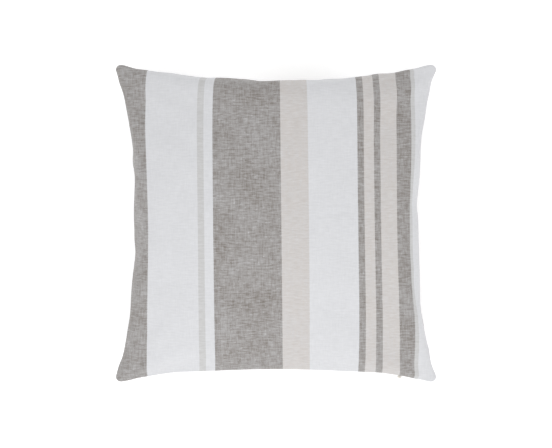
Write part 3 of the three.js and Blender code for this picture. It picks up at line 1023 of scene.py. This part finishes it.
TAPE_CLOTH = 0.44 * MM
TAPE_STITCHES = (9.5 * MM, 3.75 * MM)  # inset and rise of the row that holds the tape
# The tape's path across its width: inset and rise in millimetres. It stands up from the slit beside
# the coil, then folds over it and lies under the turned-in cloth.
TAPE_PATH = np.array([(1.95, 0.65), (1.98, 2.3), (2.5, 3.05), (3.6, 3.35), (6.5, 3.75), (12.4, 4.45)])


def offset_path(path, distance):
    """A path in a plane moved sideways, by the mean of its neighbouring normals."""
    run = np.gradient(path, axis=0)
    run /= np.linalg.norm(run, axis=-1, keepdims=True)
    return path + np.stack([-run[:, 1], run[:, 0]], -1) * distance


def round_path(path, steps):
    """A path with more points, its corners eased by a cubic through them."""
    return cubic_weights(len(path), np.linspace(-1, 1, steps)) @ path


def length_of(path):
    """A path's length."""
    return float(np.linalg.norm(np.diff(path, axis=0), axis=1).sum())


def thick_loop(path, thickness):
    """The closed outline of a strip of cloth that follows a path in a plane."""
    faces = [offset_path(path, way * thickness / 2) for way in (1, -1)]
    return np.concatenate([faces[0], faces[1][::-1]])


class PILLOW_OT_zip(bpy.types.Operator):
    """Makes the zip: woven tapes, coiled rows, stops, slider, pull and the stitches that hold it"""

    bl_idname = "pillow.zip"
    bl_label = "Concealed zip"

    def execute(self, context):
        sewing = settings("pillow_zip")
        for half, way in (("front", 1), ("back", -1)):
            self.tape(half, way)
            self.coil(half, way, sewing)
            self.stitching(half, way, sewing)
        for node in ("zip_top_stop_front", "zip_top_stop_back", "zip_bottom_stop"):
            softened(node, node.replace("zip", "clamped"), "pillow", 0.12 * MM)
        softened("zip_slider_body", "cast_slider", "slider", 0.16 * MM)
        softened("zip_pull_tab", "cast_pull", "pull", 0.22 * MM)
        return {"FINISHED"}

    def tape(self, half, way):
        """A tape: its path's outline carried along the zip's arc."""
        start, end = zip_section(f"zip_tape_{half}")
        along = np.arange(start[0], end[0] + 1e-6, 3 * MM)
        middle = round_path(TAPE_PATH, 22) * MM
        loop = thick_loop(middle, TAPE_CLOTH)
        rings = on_zip_arc(along[:, None], loop[None, :, 0], way * loop[None, :, 1])
        lengths = np.concatenate([[0], np.cumsum(np.linalg.norm(np.diff(loop, axis=0), axis=1))])
        flat = np.stack(np.broadcast_arrays(lengths[None], along[:, None]), -1)
        tape = put_tubes(f"woven_tape_{half}", rings[None], tape_weave(), cloth=flat)
        stand_for(tape, f"zip_tape_{half}")

    def coil(self, half, way, sewing):
        """A row: a tube carried along a flattened helix, its loops round the row's middle."""
        low, high = zip_section(f"zip_coil_{half}")
        turns = (high[0] - low[0] - 2 * sewing.wire) / sewing.turn
        angle = np.linspace(0, TAU * turns, int(turns * 12))
        run = low[0] + sewing.wire + angle / TAU * sewing.turn
        middle, reach = (low + high) / 2, (high - low) / 2 - sewing.wire
        ring = np.linspace(0, TAU, 6, endpoint=False)
        out = np.cos(ring)[None] * sewing.wire
        inset = middle[1] + np.cos(angle)[:, None] * (reach[1] + out)
        rise = middle[2] + np.sin(angle)[:, None] * (reach[2] + out)
        rings = on_zip_arc(run[:, None] + np.sin(ring)[None] * sewing.wire, inset, rise)
        coil = put_tubes(f"nylon_coil_{half}", rings[None], nylon())
        stand_for(coil, f"zip_coil_{half}")

    def stitching(self, half, way, sewing):
        """Stitches along the tape's inner face, two thirds of the way across it."""
        low, high = zip_section(f"zip_stitching_{half}")
        inset, rise = TAPE_STITCHES
        starts = np.arange(low[0], high[0] - sewing.stitch, sewing.stitch)
        first, last = [
            on_zip_arc(starts + at * sewing.stitch, inset, way * rise) for at in STITCH_SPAN
        ]
        rings = stitch_rings(first, last, sewing.thread)
        stitches = put_tubes(f"tape_stitches_{half}", rings, sewing_thread())
        stand_for(stitches, f"zip_stitching_{half}")


WELD = 1e-7  # corners of a frame node that are nearer than this are one


def softened(node, name, body, width):
    """A cast metal piece from a frame node: its faces joined at their edges, and the edges rounded."""
    source = frame["nodes"][node].data
    points = np.round(points_of(node) / WELD).astype(np.int64)
    kept, index = np.unique(points, axis=0, return_inverse=True)
    corner = np.zeros(len(source.loops), np.int32)
    source.loops.foreach_get("vertex_index", corner)
    faces = index.reshape(-1)[corner].reshape(-1, 3)
    faces = faces[(faces != np.roll(faces, 1, axis=1)).all(axis=1)]
    piece = put_mesh(name, kept * WELD, faces, enamel(), body, corners=3)
    flat = piece.modifiers.new("flat faces", "DECIMATE")
    flat.decimate_type = "DISSOLVE"
    flat.angle_limit = math.radians(2)
    edge = piece.modifiers.new("rounded edges", "BEVEL")
    edge.width, edge.segments, edge.limit_method = width, 3, "ANGLE"
    edge.angle_limit = math.radians(25)
    edge.harden_normals = True
    stand_for(piece, node)


# ---- Label ----
# Its path in from the left seam, in millimetres: along the turned-in cloth, then up beside the insert.
LABEL_PATH = np.array([(3, 1.6), (7, 1.65), (10.6, 2.1), (12.3, 5), (12.7, 11), (12.3, 18), (11.9, 26)])


class PILLOW_OT_label(bpy.types.Operator):
    """Hangs the blank care label from the left seam, inside the cover"""

    bl_idname = "pillow.label"
    bl_label = "Care label"

    def execute(self, context):
        low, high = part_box("care_label")
        edge = stuffed_sheets()["front"][0][0]
        width = np.linspace(-0.5, 0.5, 12) * LABEL_WIDTH
        along = (low.y + high.y) / 2 + width
        edge_x, edge_z = [np.interp(along, edge[:, 1], edge[:, axis]) for axis in (0, 2)]
        middle = round_path(LABEL_PATH, 36) * MM
        loop = thick_loop(middle, LABEL_CLOTH)
        free = np.clip(loop[:, 1] / LABEL_HELD, 0, 1) ** 2
        curl = LABEL_CURL * free * np.cos(width / LABEL_WIDTH * TAU)[:, None]
        x = edge_x[:, None] + loop[:, 0] - curl
        z = edge_z[:, None] - SEAM_GAP + loop[:, 1]
        rings = np.stack(np.broadcast_arrays(x, along[:, None], z), -1)
        lengths = np.linspace(0, length_of(middle), len(middle))
        lengths = np.concatenate([lengths, lengths[::-1]])
        flat = np.stack(np.broadcast_arrays(width[:, None], lengths[None]), -1)
        label = put_tubes("blank_label", rings[None], label_satin(), cloth=flat)
        stand_for(label, "care_label")
        return {"FINISHED"}


# ---- Stage ----
FLOOR_REACH = 6.0
FLOOR_GAP = 0.2 * MM
VIEW_SHIFT = 1.2 * MM  # of the camera, towards the zip
# The soft lights: name, place, width and share of the key's power.
LAMPS = (
    ("key", (0.0, -1.6, 2.3), 1.8, 1.0),
    ("top", (0.0, 0.3, 3.0), 2.6, 0.75),
)


class PILLOW_OT_stage(bpy.types.Operator):
    """Lays a white floor and sets the soft lights and the camera straight above"""

    bl_idname = "pillow.stage"
    bl_label = "Stage"

    def execute(self, context):
        stage = settings("pillow_stage")
        scene = context.scene
        scene.view_settings.view_transform = "Standard"

        def paper(start):
            x, y, z = place_on_object(start)
            fleck = start.noise(x / 0.04, y / 0.04, z, detail=3)
            tone = start.mix(fleck + 0.5, (0.955, 0.955, 0.955), (0.97, 0.97, 0.97))
            return {"Base Color": tone, "Emission Color": tone}

        mesh = bpy.data.meshes.new("floor")
        corners = [
            (x * FLOOR_REACH, y * FLOOR_REACH, -FLOOR_GAP) for x, y in ((-1, -1), (1, -1), (1, 1), (-1, 1))
        ]
        mesh.from_pydata(corners, [], [(0, 1, 2, 3)])
        mesh.materials.append(finish("white_floor", paper, Roughness=0.9, Emission_Strength=stage.glow))
        floor = bpy.data.objects.new("floor", mesh)
        scene.collection.objects.link(floor)

        world = bpy.data.worlds.new("studio")
        scene.world = world
        world.use_nodes = True
        background = world.node_tree.nodes["Background"]
        background.inputs["Color"].default_value = (1, 1, 1, 1)
        background.inputs["Strength"].default_value = stage.sky

        aim = Vector((0, 0, seam_z))
        for name, place, size, share in LAMPS:
            light = bpy.data.lights.new(name, "AREA")
            light.size, light.energy = size, stage.key_power * share
            lamp = bpy.data.objects.new(name, light)
            lamp.location = place
            lamp.rotation_euler = (aim - Vector(place)).to_track_quat("-Z", "Y").to_euler()
            scene.collection.objects.link(lamp)

        camera = bpy.data.objects.new("camera", bpy.data.cameras.new("camera"))
        camera.data.lens = camera.data.sensor_width * stage.distance / stage.view_width
        camera.location = (0, -VIEW_SHIFT, seam_z + stage.distance)
        scene.collection.objects.link(camera)
        scene.camera = camera
        return {"FINISHED"}


STEPS = (
    PILLOW_OT_stage,
    PILLOW_OT_cover,
    PILLOW_OT_insert,
    PILLOW_OT_seams,
    PILLOW_OT_zip,
    PILLOW_OT_label,
)


class PILLOW_PT_panel(bpy.types.Panel):
    """Lists the pillow's pieces and their settings"""

    bl_idname = "PILLOW_PT_panel"
    bl_label = "Throw pillow"
    bl_space_type = "VIEW_3D"
    bl_region_type = "UI"
    bl_category = "Pillow"

    def draw(self, context):
        for group in GROUPS:
            for name in group.__annotations__:
                self.layout.prop(settings(GROUPS[group]), name)
        for step in STEPS:
            self.layout.operator(step.bl_idname)


GROUPS = {
    PillowCloth: "pillow_cloth",
    PillowYarns: "pillow_yarns",
    PillowZip: "pillow_zip",
    PillowStage: "pillow_stage",
}


def register():
    for group, name in GROUPS.items():
        bpy.utils.register_class(group)
        setattr(bpy.types.Scene, name, bpy.props.PointerProperty(type=group))
    for step in (*STEPS, PILLOW_PT_panel):
        bpy.utils.register_class(step)


def unregister():
    for step in (PILLOW_PT_panel, *STEPS[::-1]):
        bpy.utils.unregister_class(step)
    for group, name in GROUPS.items():
        delattr(bpy.types.Scene, name)
        bpy.utils.unregister_class(group)


def main():
    register()
    bpy.ops.pillow.stage()
    bpy.ops.pillow.cover()
    bpy.ops.pillow.insert()
    bpy.ops.pillow.seams()
    bpy.ops.pillow.zip()
    bpy.ops.pillow.label()


if __name__ == "__main__":
    main()
